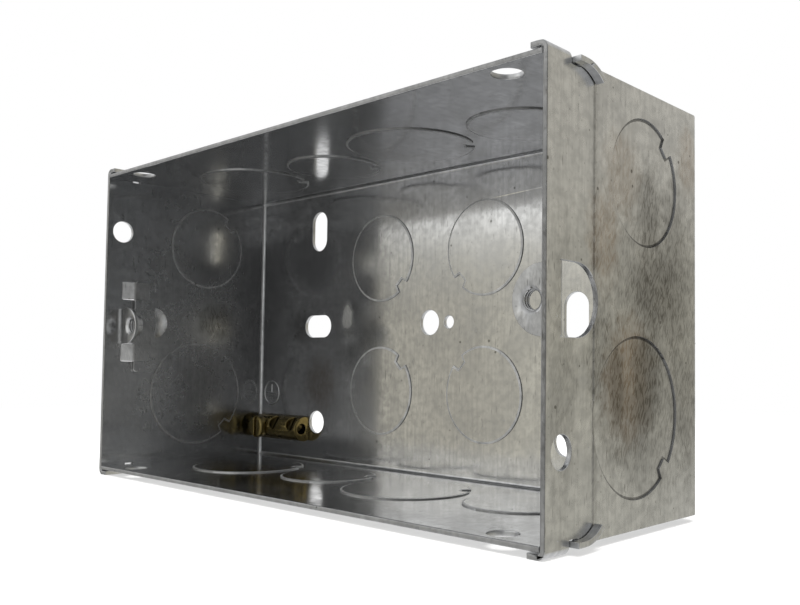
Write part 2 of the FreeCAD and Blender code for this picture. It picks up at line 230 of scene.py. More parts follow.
OTHER_BANDS = [
    (0.05, 0.12, [
        (-80, 0.66), (-66, (0.64, 0.66, 0.67)), (-58, (0.56, 0.57, 0.58)),
        (-50, (0.55, 0.54, 0.49)), (-45, (0.62, 0.60, 0.53)), (-41, (0.58, 0.56, 0.49)),
        (-35, (0.78, 0.75, 0.66)), (-28, (0.82, 0.79, 0.70)), *AHEAD,
        (60, 0.05), (68, 0.05), (90, (0.40, 0.38, 0.33)), (110, (0.60, 0.57, 0.47)),
        (150, (0.62, 0.59, 0.49)), (174, (0.64, 0.61, 0.52))]),
    (-0.02, -0.12, [
        (-80, (1.00, 1.00, 0.99)), (-66, (1.15, 1.15, 1.14)),
        (-58, (0.90, 0.90, 0.89)), (-50, (0.62, 0.60, 0.53)), (-45, (0.62, 0.59, 0.50)),
        (-41, (0.56, 0.53, 0.45)), (-35, (0.78, 0.75, 0.64)), (-28, (0.82, 0.79, 0.68)),
        (0, (0.66, 0.64, 0.57)), (26, (0.80, 0.80, 0.78)), (38, (0.64, 0.64, 0.63)), (46, (0.56, 0.56, 0.55)),
        (56, 0.36), (66, 0.14), (90, (0.45, 0.43, 0.38)), (110, (0.60, 0.57, 0.47)),
        (150, (0.62, 0.60, 0.52))]),
    (-0.14, -0.20, [
        (-80, 0.34), (-64, (0.15, 0.16, 0.17)), (-54, (0.22, 0.22, 0.23)),
        (-46, (0.51, 0.51, 0.52)), (-38, (0.64, 0.64, 0.65)), (-30, 0.64), (0, (0.70, 0.70, 0.69)),
        (30, (0.60, 0.60, 0.58)), (50, 0.26), (66, 0.16), (100, (0.55, 0.53, 0.46)),
        (150, (0.62, 0.60, 0.52))]),
    (0.125, 0.19, [
        (-80, 0.80), (-64, (1.05, 1.05, 1.06)), (-54, 1.30),
        (-46, (1.45, 1.45, 1.44)), (-38, (1.50, 1.50, 1.48)), (-30, (1.45, 1.45, 1.43)),
        (0, (0.90, 0.90, 0.88)), (26, (0.80, 0.80, 0.78)), (40, 0.30), (48, 0.13), (66, 0.10),
        (100, (0.58, 0.55, 0.48)), (150, (0.66, 0.63, 0.55))]),
    (-0.35, -0.60, []),
]
CEILING = (0.75, 0.76, 0.77, 1)
CEILING_RISE = (0.45, 0.90)
WHITE = (1, 1, 1, 1)

# Floor's fade into white, by the distance from the middle and the share of white there, lamp and camera
FADE_REACH = (0.12, 0.40)
FADE_SHARES = (0.5, 1.0)
FLOOR_SIDES = 96
LAMP_PLACE = (0.1, -0.1, 0.55)
LAMP_TARGET = (0, -0.03, 0)
LAMP_SIZE = 0.5
SENSOR_WIDTH = 36               # in mm

# Marks of use, painted shade and painted light on the sheet laid flat, in mm: side, or bent for the bent
# faces of the inner side, middle across and up, reach across and up, colour, share
MARKS = [
    ("outer", (80, -5), (30, 38), "grime_and_shade", 0.50),
    ("outer", (90, -12), (10, 13), "stain", 0.65),
    ("outer", (84, -12), (7, 12), "grime_and_shade", 0.78),
    ("outer", (93, -13), (3, 9), "grime_and_shade", 0.65),
    ("outer", (98, -9), (6, 10), "grime_and_shade", 0.35),
    ("outer", (90, -20), (11, 8), "grime_and_shade", 0.35),
    ("outer", (92, 21), (8, 9), "stain", 0.35),
    ("outer", (83, 16), (5, 10), "grime_and_shade", 0.55),
    ("outer", (82, 3), (10, 9), "grime_and_shade", 0.68),
    ("outer", (75, 4), (6, 20), "grime_and_shade", 0.35),
    ("outer", (70, 27), (5, 8), "stain", 0.40),
    ("outer", (98, 10), (6, 10), "stain", 0.45),
    ("outer", (109, -10), (5, 30), "grime_and_shade", 0.30),
    ("outer", (71, -18), (5, 14), "grime_and_shade", 0.30),
    # Painted shade along the die line's shallow crease on the right wall
    ("outer", (100.4, 0), (1.5, 60), "grime_and_shade", 0.30),
    ("inner", (15, 16), (12, 12), "bright_zinc_and_light", 0.12),
    ("inner", (-28.9, 2), (3, 5), "bright_zinc_and_light", 0.60),
    ("inner", (-39, -15), (8, 9), "stain", 0.40),
    ("inner", (-8, 28), (9, 4), "grime_and_shade", 0.25),
    # Painted shade that darkens the left wall beside the lug
    ("inner", (-81, 1), (7, 6), "grime_and_shade", 0.65),
    ("inner", (-86, -16), (9, 10), "grime_and_shade", 0.20),
    # Painted light on the lower front of the left wall and its hooks
    ("inner", (-106, -20), (16, 26), "bright_zinc_and_light", 0.80),
    # Painted highlight on the lug's bent catch, where its zinc is also rubbed bright
    ("bent", (-97, 0.5), (7, 8), "bright_zinc_and_light", 1.00),
    # Painted light on the bottom wall, where the light from the front falls
    ("inner", (-45, -60), (55, 30), "bright_zinc_and_light", 0.90),
    ("inner", (5, -60), (50, 30), "bright_zinc_and_light", 0.90),
    ("inner", (-46, 30), (16, 10), "grime_and_shade", 0.40),
]
MARK_RAGGEDNESS = 0.7

# Dulled and rubbed areas: side, middle and reach as above, and the roughness that each adds
DULLED = [
    ("outer", (90, 0), (60, 60), 0.16),
    ("inner", (-90, 0), (26, 50), 0.14),
    ("inner", (-85, 20), (10, 11), -0.10),
    ("inner", (-28.9, 2), (3, 5), 0.20),
    ("bent", (-97, 0.5), (7, 8), -0.14),
]
DULLED_RAGGEDNESS = 0.5

# Texture of the finishes: sizes on the surface, and what shares of the noise or of the cells show
STREAKS = (0.7 * MM, 11 * MM, 1.0)
WEATHERED = (0.40, 0.72)        # limits of the streaks that have weathered
WAVES = 12 * MM
BLOTCHES = {"Size": 9 * MM, "Low": 0.38, "High": 0.68}
MOTTLE = {"Size": 1.6 * MM, "Low": 0.36, "High": 0.70}
SPECKS = {"Pitch": 2.2 * MM, "Share": 0.35, "Size": 0.16}
DUST = {"Pitch": 0.8 * MM, "Share": 0.30, "Size": 0.28}
DASHES = {"Width": 0.45 * MM, "Length": 3.5 * MM, "Rarity": 0.68}
LEANING_DASHES = {"Turn": 0.5, "Width": 0.35 * MM, "Length": 6 * MM, "Rarity": 0.70}
SCRATCHES = {"Turn": -0.3, "Width": 0.3 * MM, "Length": 18 * MM, "Rarity": 0.74}
RUB_STROKES = [{"Turn": turn, "Width": 0.4 * MM, "Length": 2.2 * MM, "Rarity": 0.54} for turn in (0.15, -0.5)]
RUB_LIMITS = (0.0, 1.2)         # of the strokes' sum, and the share of a mark that shows at each
RUB_SHARES = (0.62, 1.05)
RUB_DASHES = 0.6                # more of a mark along a dash
ZINC_RELIEF = 0.04 * MM
TOOL_RINGS = (0.12 * MM, 6 * MM, 6 * MM)
TARNISH_CLOUDS = {"Size": 2.5 * MM, "Low": 0.35, "High": 0.70}
TARNISH_SPECKS = {"Pitch": 0.7 * MM, "Share": 0.30, "Size": 0.20}
RING_RELIEF = 0.01 * MM
SPECK_EDGE = 0.04
SCRATCH_EDGE = 0.08
PATCH_EDGE = (1.0, 0.35)
PATCH_GRAIN = 2.5 * MM

# Zinc grains, threads, and the earth sign with its stem and bars as shares of its radius
GRAIN_FLATNESS = 0.35
SMALLEST_GRAIN = 0.25
GRAIN_FINENESS = 2
THREAD_STEPS = 36               # in a turn
RIDGE_SIDES = 4
RING_SIDES = 64
LINE_SIDES = 10
SIGN_STROKES = [((0, 0.72), (0, 0.02)), ((-0.62, 0), (0.62, 0)), ((-0.38, -0.28), (0.38, -0.28)),
                ((-0.15, -0.55), (0.15, -0.55))]
SIGN_FLATNESS = 0.8


# Small helpers for node trees

def feed(tree, socket, value):
    """Links a socket to another one or to a node's first output, or sets it to a value."""
    if isinstance(value, bpy.types.Node):
        value = value.outputs[0]
    if isinstance(value, bpy.types.NodeSocket):
        tree.links.new(value, socket)
    else:
        socket.default_value = value


def add(tree, kind, inputs=None, **settings):
    """New node with its settings, whose inputs are linked or set to values."""
    made = tree.nodes.new(kind)
    for name, value in settings.items():
        setattr(made, name, value)
    for key, value in (inputs or {}).items():
        feed(tree, made.inputs[key], value)
    return made


def calculate(tree, operation, *values):
    """Result of a Math node."""
    return add(tree, "ShaderNodeMath", dict(enumerate(values)), operation=operation).outputs[0]


def calculate_vector(tree, operation, *values):
    """Outputs of a Vector Math node."""
    return add(tree, "ShaderNodeVectorMath", dict(enumerate(values)), operation=operation).outputs


def stretched_noise(tree, vector, scale, detail):
    """Noise with a scale in each direction."""
    place = calculate_vector(tree, "MULTIPLY", vector, scale)[0]
    return add(tree, "ShaderNodeTexNoise", {"Vector": place, "Scale": 1.0, "Detail": detail}).outputs[0]


def ramp(tree, value, low, high, low_result=0.0, high_result=1.0):
    """Value that rises smoothly from one result to another between two limits."""
    limits = {"Value": value, "From Min": low, "From Max": high, "To Min": low_result, "To Max": high_result}
    return add(tree, "ShaderNodeMapRange", limits, interpolation_type="SMOOTHSTEP").outputs[0]


def blend_colours(tree, share, under, over):
    """Colour that goes from one to another with a share."""
    mixer = add(tree, "ShaderNodeMix", data_type="RGBA", clamp_factor=True)
    sockets = {socket.identifier: socket for socket in (*mixer.inputs, *mixer.outputs)}
    for name, value in (("Factor_Float", share), ("A_Color", under), ("B_Color", over)):
        feed(tree, sockets[name], value)
    return sockets["Result_Color"]


def cover(tree, colour, over, mask, share):
    """Colour that a share of another one covers where a mask shows."""
    return blend_colours(tree, calculate(tree, "MULTIPLY", mask, share), colour, over)


# A node group's one output, by the kind of tree, and the kinds of its inputs, by their defaults
GROUP_OUTPUTS = {"ShaderNodeTree": ("Mask", "NodeSocketFloat"),
                 "GeometryNodeTree": ("Geometry", "NodeSocketGeometry")}
INPUT_KINDS = {float: "NodeSocketFloat", int: "NodeSocketInt", tuple: "NodeSocketVector",
               type(None): "NodeSocketGeometry"}
ORIGIN = (0.0, 0.0, 0.0)


def new_group(name, kind, **inputs):
    """Node group with inputs by name, with underscores for spaces: its tree, its inputs and its output."""
    tree = bpy.data.node_groups.new(name, kind)
    for key, default in inputs.items():
        socket = tree.interface.new_socket(name=key.replace("_", " "), in_out="INPUT",
                                           socket_type=INPUT_KINDS[type(default)])
        if default is not None:
            socket.default_value = default
    output_name, output_kind = GROUP_OUTPUTS[kind]
    tree.interface.new_socket(name=output_name, in_out="OUTPUT", socket_type=output_kind)
    return tree, add(tree, "NodeGroupInput").outputs, add(tree, "NodeGroupOutput").inputs[0]


# Effects that the finishes share

def speck_group():
    """Small dark specks, scattered at a pitch in metres."""
    tree, given, result = new_group("Specks", "ShaderNodeTree", Vector=ORIGIN, Pitch=2 * MM, Share=0.3,
                                    Size=0.12)
    scale = calculate(tree, "DIVIDE", 1.0, given["Pitch"])
    cells = add(tree, "ShaderNodeTexVoronoi", {"Vector": given["Vector"], "Scale": scale}, feature="F1")
    luck = add(tree, "ShaderNodeSeparateColor", {0: cells.outputs["Color"]}).outputs
    chosen = calculate(tree, "LESS_THAN", luck["Red"], given["Share"])
    reach = calculate(tree, "MULTIPLY", luck["Green"], given["Size"])
    inside = calculate(tree, "SUBTRACT", reach, cells.outputs["Distance"])
    soft = ramp(tree, inside, 0.0, SPECK_EDGE)
    tree.links.new(calculate(tree, "MULTIPLY", soft, chosen), result)
    return tree


def scratch_group():
    """Thin scratches in one direction, broken up along their length."""
    tree, given, result = new_group("Scratches", "ShaderNodeTree", Vector=ORIGIN, Turn=0.0, Width=0.3 * MM,
                                    Length=14 * MM, Rarity=0.7)
    turned = add(tree, "ShaderNodeVectorRotate", {"Vector": given["Vector"], "Angle": given["Turn"]},
                 rotation_type="Z_AXIS").outputs[0]
    across = calculate(tree, "DIVIDE", 1.0, given["Width"])
    along = calculate(tree, "DIVIDE", 1.0, given["Length"])
    scale = add(tree, "ShaderNodeCombineXYZ", {0: across, 1: along, 2: across}).outputs[0]
    lines = stretched_noise(tree, turned, scale, 1.0)
    limit = calculate(tree, "ADD", given["Rarity"], SCRATCH_EDGE)
    tree.links.new(ramp(tree, lines, given["Rarity"], limit), result)
    return tree


def cloud_group():
    """Soft uneven patches of a size in metres."""
    tree, given, result = new_group("Clouds", "ShaderNodeTree", Vector=ORIGIN, Size=12 * MM, Low=0.4,
                                    High=0.65)
    scale = calculate(tree, "DIVIDE", 1.0, given["Size"])
    noise = add(tree, "ShaderNodeTexNoise", {"Vector": given["Vector"], "Scale": scale, "Detail": 5.0})
    tree.links.new(ramp(tree, noise, given["Low"], given["High"]), result)
    return tree


def patch_group():
    """One ragged patch round a place, with a size in each direction."""
    tree, given, result = new_group("Patch", "ShaderNodeTree", Vector=ORIGIN, Centre=ORIGIN,
                                    Reach=(0.01, 0.01, 0.01), Raggedness=0.5, Grain=3 * MM)
    offset = calculate_vector(tree, "SUBTRACT", given["Vector"], given["Centre"])[0]
    share = calculate_vector(tree, "DIVIDE", offset, given["Reach"])[0]
    far = calculate_vector(tree, "LENGTH", share)["Value"]
    scale = calculate(tree, "DIVIDE", 1.0, given["Grain"])
    noise = add(tree, "ShaderNodeTexNoise", {"Vector": given["Vector"], "Scale": scale, "Detail": 4.0})
    shake = calculate(tree, "SUBTRACT", noise, 0.5)
    edge = calculate(tree, "MULTIPLY_ADD", shake, given["Raggedness"], far)
    tree.links.new(ramp(tree, edge, *PATCH_EDGE), result)
    return tree


EFFECTS = {}


def effect(tree, maker, vector, **settings):
    """Mask of a shared effect in a material. The effect's node group is built once."""
    if maker not in EFFECTS:
        EFFECTS[maker] = maker()
    return add(tree, "ShaderNodeGroup", {"Vector": vector, **settings}, node_tree=EFFECTS[maker]).outputs[0]


# Materials

def empty_material(name):
    """Material and its empty node tree."""
    material = bpy.data.materials.new(name)
    material.use_nodes = True
    material.node_tree.nodes.clear()
    return material, material.node_tree


def finish_metal(tree, colour, roughness, height, strength, relief):
    """Ends a metal's node tree with its shader."""
    bump = add(tree, "ShaderNodeBump", {"Strength": strength, "Distance": relief, "Height": height})
    shader = add(tree, "ShaderNodeBsdfPrincipled", {"Base Color": colour, "Roughness": roughness,
                                                    "Metallic": 1.0, "Normal": bump})
    add(tree, "ShaderNodeOutputMaterial", {"Surface": shader})


def sheet_patch(tree, sheet, worked, side, middle, reach, raggedness):
    """Mask of a patch on the sheet laid flat, placed in mm, and only on bent faces where the side says so."""
    centre = (middle[0] * MM + OUTER_SIDE * (side == "outer"), middle[1] * MM, 0)
    mask = effect(tree, patch_group, sheet, Centre=centre, Reach=(reach[0] * MM, reach[1] * MM, 1),
                  Raggedness=raggedness, Grain=PATCH_GRAIN)
    return calculate(tree, "MULTIPLY", mask, worked) if side == "bent" else mask


def zinc_material(finish):
    """Worn zinc: a near mirror with rolling streaks, mottling, specks, dashes, scratches, stains, painted
    shade and painted light.
    """
    material, tree = empty_material("Worn zinc")
    sheet = add(tree, "ShaderNodeUVMap", uv_map=SHEET_UV).outputs[0]
    shear = add(tree, "ShaderNodeAttribute", attribute_name=SHEAR).outputs["Fac"]
    worked = add(tree, "ShaderNodeAttribute", attribute_name=WORKED).outputs["Fac"]
    streaks = stretched_noise(tree, sheet, tuple(1 / size for size in STREAKS), 4.0)
    blotches = effect(tree, cloud_group, sheet, **BLOTCHES)
    mottle = effect(tree, cloud_group, sheet, **MOTTLE)
    specks = effect(tree, speck_group, sheet, **SPECKS)
    dust = effect(tree, speck_group, sheet, **DUST)
    dashes = effect(tree, scratch_group, sheet, **DASHES)
    leaning = effect(tree, scratch_group, sheet, **LEANING_DASHES)
    scratches = effect(tree, scratch_group, sheet, **SCRATCHES)
    strokes = [effect(tree, scratch_group, sheet, **stroke) for stroke in RUB_STROKES]
    across = add(tree, "ShaderNodeSeparateXYZ", {0: sheet}).outputs["X"]
    shaded_outer_shear = calculate(tree, "MULTIPLY", shear, calculate(tree, "GREATER_THAN", across, OUTER_SIDE / 2))
    rim = calculate(tree, "GREATER_THAN", worked, FRONT_RIM - 0.5)

    colour = tuple(finish.zinc)
    weathered = ramp(tree, streaks, *WEATHERED)
    for mask, share in ((blotches, 0.40), (mottle, 0.50), (weathered, 0.35)):
        colour = cover(tree, colour, tuple(finish.dull_zinc), mask, share)
    rubbed = ramp(tree, calculate(tree, "ADD", *strokes), *RUB_LIMITS, *RUB_SHARES)
    rubbed = calculate(tree, "MULTIPLY_ADD", calculate(tree, "MAXIMUM", dashes, leaning), RUB_DASHES, rubbed)
    # Marks of stains and wear, with painted shade and painted light, broken up by rub strokes
    for side, middle, reach, name, share in MARKS:
        mark = sheet_patch(tree, sheet, worked, side, middle, reach, MARK_RAGGEDNESS)
        mark = calculate(tree, "MULTIPLY", mark, rubbed)
        colour = cover(tree, colour, tuple(getattr(finish, name)), mark, share)
    # Dark specks, dust, dashes and the front rim, and painted shade in the outer knockouts' shear gaps over
    # their bare cut steel
    for mask, share in ((specks, 0.70), (dust, 0.25), (dashes, 0.35), (leaning, 0.15), (shaded_outer_shear, 0.45),
                        (rim, 0.35)):
        colour = cover(tree, colour, tuple(finish.grime_and_shade), mask, share)

    areas = [(sheet_patch(tree, sheet, worked, side, middle, reach, DULLED_RAGGEDNESS), more)
             for side, middle, reach, more in DULLED]
    roughness = finish.gloss_roughness
    for mask, more in ((blotches, 0.05), *areas, (mottle, 0.04), (scratches, 0.12), (dashes, 0.10),
                       (shear, 0.18), (worked, finish.worked_roughness)):
        roughness = calculate(tree, "MULTIPLY_ADD", mask, more, roughness)

    height = add(tree, "ShaderNodeTexNoise", {"Vector": sheet, "Scale": 1 / WAVES, "Detail": 1.0}).outputs[0]
    for mask, rise in ((streaks, 0.015), (mottle, 0.02), (scratches, -0.02)):
        height = calculate(tree, "MULTIPLY_ADD", mask, rise, height)
    finish_metal(tree, colour, roughness, height, 1.0, ZINC_RELIEF)
    return material


def brass_material(finish):
    """Turned brass with fine tool rings, dulled in patches, with painted shade on the clamp screws set down
    in the bar.
    """
    material, tree = empty_material("Dulled brass")
    place = add(tree, "ShaderNodeTexCoord").outputs["Object"]
    rings = stretched_noise(tree, place, tuple(1 / size for size in TOOL_RINGS), 2.0)
    clouds = effect(tree, cloud_group, place, **TARNISH_CLOUDS)
    specks = effect(tree, speck_group, place, **TARNISH_SPECKS)
    sunk_screw_shade = add(tree, "ShaderNodeAttribute", attribute_name=WORKED).outputs["Fac"]
    colour = tuple(finish.brass)
    for mask, share in ((clouds, 0.60), (specks, 0.50), (sunk_screw_shade, 0.85)):
        colour = cover(tree, colour, tuple(finish.tarnish_and_shade), mask, share)
    roughness = calculate(tree, "MULTIPLY_ADD", clouds, 0.16, finish.brass_roughness)
    finish_metal(tree, colour, roughness, rings, 0.6, RING_RELIEF)
    return material


def floor_material(stage):
    """Pale floor that fades into the white surroundings."""
    material, tree = empty_material("Pale floor")
    place = add(tree, "ShaderNodeTexCoord").outputs["Object"]
    far = calculate_vector(tree, "LENGTH", place)["Value"]
    pale = add(tree, "ShaderNodeBsdfDiffuse", {"Color": tuple(stage.floor)})
    white = add(tree, "ShaderNodeEmission", {"Color": WHITE, "Strength": 1.0})
    fade = ramp(tree, far, *FADE_REACH, *FADE_SHARES)
    mixed = add(tree, "ShaderNodeMixShader", {0: fade, 1: pale, 2: white})
    add(tree, "ShaderNodeOutputMaterial", {"Surface": mixed})
    return material


# Meshes

def link_piece(name, mesh, material):
    """Object in the scene that shows a mesh in a material."""
    mesh.materials.clear()
    mesh.materials.append(material)
    piece = bpy.data.objects.new(name, mesh)
    bpy.context.scene.collection.objects.link(piece)
    return piece


def settle(piece):
    """Turns what an object's modifiers make into its plain mesh."""
    shown = piece.evaluated_get(bpy.context.evaluated_depsgraph_get())
    mesh = bpy.data.meshes.new_from_object(shown)
    mesh.name = piece.name
    piece.modifiers.clear()
    piece.data = mesh
    return piece


def merged_mesh(node):
    """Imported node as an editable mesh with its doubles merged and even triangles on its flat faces."""
    work = bmesh.new()
    work.from_mesh(frame["nodes"][node].data)
    work.faces.layers.float.new(SHEAR)
    work.faces.layers.float.new(WORKED)
    work.edges.layers.float.new(ROUNDING)
    bmesh.ops.remove_doubles(work, verts=work.verts, dist=MERGE_DISTANCE)
    seams = [edge for edge in work.edges if edge.calc_face_angle(math.pi) < FLAT_ANGLE]
    bmesh.ops.beautify_fill(work, faces=work.faces, edges=seams, method="ANGLE")
    for face in work.faces:
        face.smooth = True
    return work


def lies_in(face, planes):
    """Whether a face lies in one of the planes, which are given by axis and level."""
    return any(abs(face.normal[axis]) > STRAIGHT and abs(face.verts[0].co[axis] - level) < LEVEL_TOLERANCE
               for axis, level in planes)


def broad_planes(work):
    """Axis and level of the sheet's broad faces, the largest in each of six directions."""
    areas = {}
    for face in work.faces:
        axis = max(range(3), key=lambda k: abs(face.normal[k]))
        if abs(face.normal[axis]) > STRAIGHT:
            levels = areas.setdefault((axis, face.normal[axis] > 0), {})
            level = round(face.verts[0].co[axis], 5)
            levels[level] = levels.get(level, 0) + face.calc_area()
    return {(axis, level) for (axis, _), levels in areas.items() for level, area in levels.items()
            if area > BROAD_SHARE * max(levels.values())}


def stepped(planes, step):
    """The sheet's planes, with those of the knockouts on each side of them."""
    return {(axis, level + side * step) for axis, level in planes for side in (-1, 0, 1)}


def join_discs(work, planes, step):
    """Joins the flat faces of each knockout into one."""
    flat = {face for face in work.faces if lies_in(face, stepped(planes, step) - planes)}
    seams = [edge for edge in work.edges if all(face in flat for face in edge.link_faces)]
    bmesh.ops.dissolve_limit(work, angle_limit=FLAT_ANGLE, edges=seams)


def shear_walls(work, planes, step):
    """Narrow walls round the knockouts, as high as a knockout's step."""
    walls = set()
    for axis, level in planes:
        for face in work.faces:
            if abs(face.normal[axis]) < UPRIGHT:
                rise = [abs(vert.co[axis] - level) for vert in face.verts]
                if min(rise) < LEVEL_TOLERANCE and abs(max(rise) - step) < LEVEL_TOLERANCE:
                    walls.add(face)
    return walls


def roll_lips(work, walls, width, drop):
    """Rolls the edge of each knockout down towards its shear wall, and gives the lips' faces."""
    discs = []
    for face in work.faces:
        sheared = sum(any(other in walls for other in edge.link_faces) for edge in face.edges)
        sides = len(face.edges)
        if face not in walls and sheared > DISC_SHEARED * sides and sides > DISC_SIDES:
            discs.append(face)
    rims = {vert: face.normal.copy() for face in discs for vert in face.verts
            if all(other is face or other in walls for other in vert.link_faces)}
    lips = bmesh.ops.inset_individual(work, faces=discs, thickness=width, use_even_offset=True)["faces"]
    for vert, normal in rims.items():
        vert.co -= normal * drop
    return set(lips)


def mark_faces(work, planes, step, walls, lips):
    """Marks the knockouts' shear lines, the front rim and all that is cut or bent out of the planes."""
    shear = work.faces.layers.float[SHEAR]
    worked = work.faces.layers.float[WORKED]
    flats = stepped(planes, step)
    for face in work.faces:
        face[shear] = float(face in walls or face in lips)
        face[worked] = FRONT_RIM if lies_in(face, {(1, BODY_LOW.y)}) else float(not lies_in(face, flats))


def in_relief(edge):
    """Whether an edge lies where three walls meet at the back."""
    return all(abs(vert.co.x) > BODY_HIGH.x - RELIEF_REACH and vert.co.y > BODY_HIGH.y - RELIEF_REACH
               and abs(vert.co.z) > BODY_HIGH.z - RELIEF_REACH for vert in edge.verts)


def weigh_edges(work, cut_share):
    """Gives each crease its share of the rounding. Sheared edges and the open corners stay sharp."""
    weights = work.edges.layers.float[ROUNDING]
    shear = work.faces.layers.float[SHEAR]
    worked = work.faces.layers.float[WORKED]
    for edge in work.edges:
        if edge.calc_face_angle(0) > CREASE_ANGLE:
            if in_relief(edge) or any(face[shear] for face in edge.link_faces):
                edge.smooth = False
            else:
                rim = any(face[worked] == FRONT_RIM for face in edge.link_faces)
                edge[weights] = 1.0 if rim else cut_share


def refill_flats(mesh, planes):
    """Fills a mesh's flat faces again, with even triangles between their rounded edges."""
    work = bmesh.new()
    work.from_mesh(mesh)
    for axis, level in sorted(planes):
        flat = {face for face in work.faces
                if all(abs(vert.co[axis] - level) < LEVEL_TOLERANCE for vert in face.verts)}
        rims = [edge for edge in work.edges if sum(face in flat for face in edge.link_faces) == 1]
        for face in flat:
            for vert in face.verts:
                vert.co[axis] = level
            face.normal_update()
        facing = sum((face.normal * face.calc_area() for face in flat), Vector())
        bmesh.ops.delete(work, geom=list(flat), context="FACES_KEEP_BOUNDARY")
        filled = fill_plane(work, rims, axis, facing)
        if abs(filled - facing.length) > FILL_TOLERANCE * facing.length:
            raise RuntimeError("A flat face of the sheet could not be filled")
    close_seams(work)
    work.to_mesh(mesh)
    work.free()


def merge_rims(work):
    """Merges the corners of open edges that share a place."""
    corners = [vert for vert in work.verts if vert.is_boundary]
    bmesh.ops.remove_doubles(work, verts=corners, dist=MERGE_DISTANCE)


def close_seams(work):
    """Joins open edges that lie on each other but are divided at different places."""
    merge_rims(work)
    seams = [edge for edge in work.edges if edge.is_boundary]
    corners = list(dict.fromkeys(vert for edge in seams for vert in edge.verts))
    for edge in seams:
        start, end = edge.verts
        line = end.co - start.co
        places = []
        for vert in corners:
            share = (vert.co - start.co).dot(line) / line.length_squared
            if 0 < share < 1 and (start.co + line * share - vert.co).length < SEAM_TOLERANCE:
                places.append((share, vert.co.copy()))
        for share, place in sorted(places, key=lambda found: -found[0]):
            split = bmesh.utils.edge_split(edge, start, share)[1]
            split.co = place
            edge = next(side for side in split.link_edges if start in side.verts)
    merge_rims(work)


def encloses(sides, spot):
    """Whether closed outlines in a plane go round a spot."""
    crossed = 0
    for start, end in sides:
        if (start.y > spot.y) != (end.y > spot.y):
            crossed += spot.x < start.x + (spot.y - start.y) * (end.x - start.x) / (end.y - start.y)
    return crossed % 2 == 1


def fill_plane(work, rims, axis, facing):
    """Fills the space inside edges that lie in a plane, leaves holes open, and gives the area filled."""
    rim_verts = list(dict.fromkeys(vert for edge in rims for vert in edge.verts))
    number = {vert: place for place, vert in enumerate(rim_verts)}
    spots = [Vector([value / MM for k, value in enumerate(vert.co) if k != axis]) for vert in rim_verts]
    sides = [[number[vert] for vert in edge.verts] for edge in rims]
    spots_filled, _, triangles, origins, _, _ = delaunay_2d_cdt(spots, sides, [], 0, FILL_PRECISION)
    verts = []
    for spot, origin in zip(spots_filled, origins):
        if origin:
            verts.append(rim_verts[origin[0]])
        else:
            point = list(spot * MM)
            point.insert(axis, rim_verts[0].co[axis])
            verts.append(work.verts.new(point))
    outlines = [[spots[end] for end in side] for side in sides]
    area = 0
    for triangle in triangles:
        if encloses(outlines, sum((spots_filled[corner] for corner in triangle), Vector((0, 0))) / 3):
            face = work.faces.new([verts[corner] for corner in triangle])
            face.smooth = True
            face.normal_update()
            if face.normal.dot(facing) < 0:
                face.normal_flip()
            area += face.calc_area()
    return area


def rounded_piece(work, name, material, rounding, cut_share=1.0, planes=()):
    """Object with rounded edges, whose flat faces are filled again and outweigh the roundings beside them."""
    bmesh.ops.triangulate(work, faces=[face for face in work.faces if len(face.verts) > 4])
    weigh_edges(work, cut_share)
    mesh = bpy.data.meshes.new(name)
    work.to_mesh(mesh)
    work.free()
    if "custom_normal" in mesh.attributes:
        mesh.attributes.remove(mesh.attributes["custom_normal"])
    piece = link_piece(name, mesh, material)
    bevel = piece.modifiers.new("Edge rounding", "BEVEL")
    bevel.width = rounding
    bevel.segments = ROUNDING_STEPS
    bevel.limit_method = "WEIGHT"
    bevel.use_clamp_overlap = False
    bevel.miter_outer = "MITER_ARC"
    settle(piece)
    refill_flats(piece.data, planes)
    weigh = piece.modifiers.new("Flat faces", "WEIGHTED_NORMAL")
    weigh.keep_sharp = True
    return settle(piece)


def level_normals(mesh, planes):
    """Makes broad faces mirror flat, with the roundings beside them running smoothly into them."""
    flats = {}
    for face in mesh.polygons:
        for axis, level in planes:
            if all(abs(mesh.vertices[vert].co[axis] - level) < SEAM_TOLERANCE for vert in face.vertices):
                flats[face.index] = Vector([math.copysign(k == axis, face.normal[axis]) for k in range(3)])
    beside = {}
    for number, straight in flats.items():
        for vert in mesh.polygons[number].vertices:
            beside.setdefault(vert, []).append(straight)
    normals = [Vector(normal.vector) for normal in mesh.corner_normals]
    for face in mesh.polygons:
        for loop in face.loop_indices:
            near = beside.get(mesh.loops[loop].vertex_index, [])
            smooth = [straight for straight in near if straight.dot(face.normal) > math.cos(SMOOTH_ANGLE)]
            if face.index in flats:
                normals[loop] = flats[face.index]
            elif smooth:
                normals[loop] = smooth[0]
    mesh.normals_split_custom_set(normals)


def unroll_sheet(mesh):
    """UV map of the sheet laid flat, in metres, with the outer side beside the inner one."""
    layer = mesh.uv_layers.new(name=SHEET_UV)
    for face in mesh.polygons:
        middle = face.center
        normal = face.normal
        outward = normal.dot(Vector((middle.x, middle.y - BODY_LOW.y / 2, middle.z))) > 0
        for loop in face.loop_indices:
            point = mesh.vertices[mesh.loops[loop].vertex_index].co
            u, v = point.x, point.z
            if abs(normal.z) > max(abs(normal.x), abs(normal.y)):
                v = math.copysign(abs(point.z) - point.y, middle.z)
            elif abs(normal.x) > abs(normal.y):
                u = math.copysign(abs(point.x) - point.y, middle.x)
            layer.data[loop].uv = (u + OUTER_SIDE * outward, v)


# Pieces that node trees make

def show_geometry(tree, geometry, material, result):
    """Ends a tree with plain meshes in a material."""
    real = add(tree, "GeometryNodeRealizeInstances", {0: geometry})
    dressed = add(tree, "GeometryNodeSetMaterial", {"Geometry": real, "Material": material})
    feed(tree, result, dressed)


def circle(tree, sides, radius):
    """Circle of straight sides."""
    return add(tree, "GeometryNodeCurvePrimitiveCircle", {"Resolution": sides, "Radius": radius})


def sweep(tree, curve, sides, radius):
    """Round bar along a curve."""
    profile = circle(tree, sides, radius)
    return add(tree, "GeometryNodeCurveToMesh",
               {"Curve": curve, "Profile Curve": profile, "Fill Caps": True})


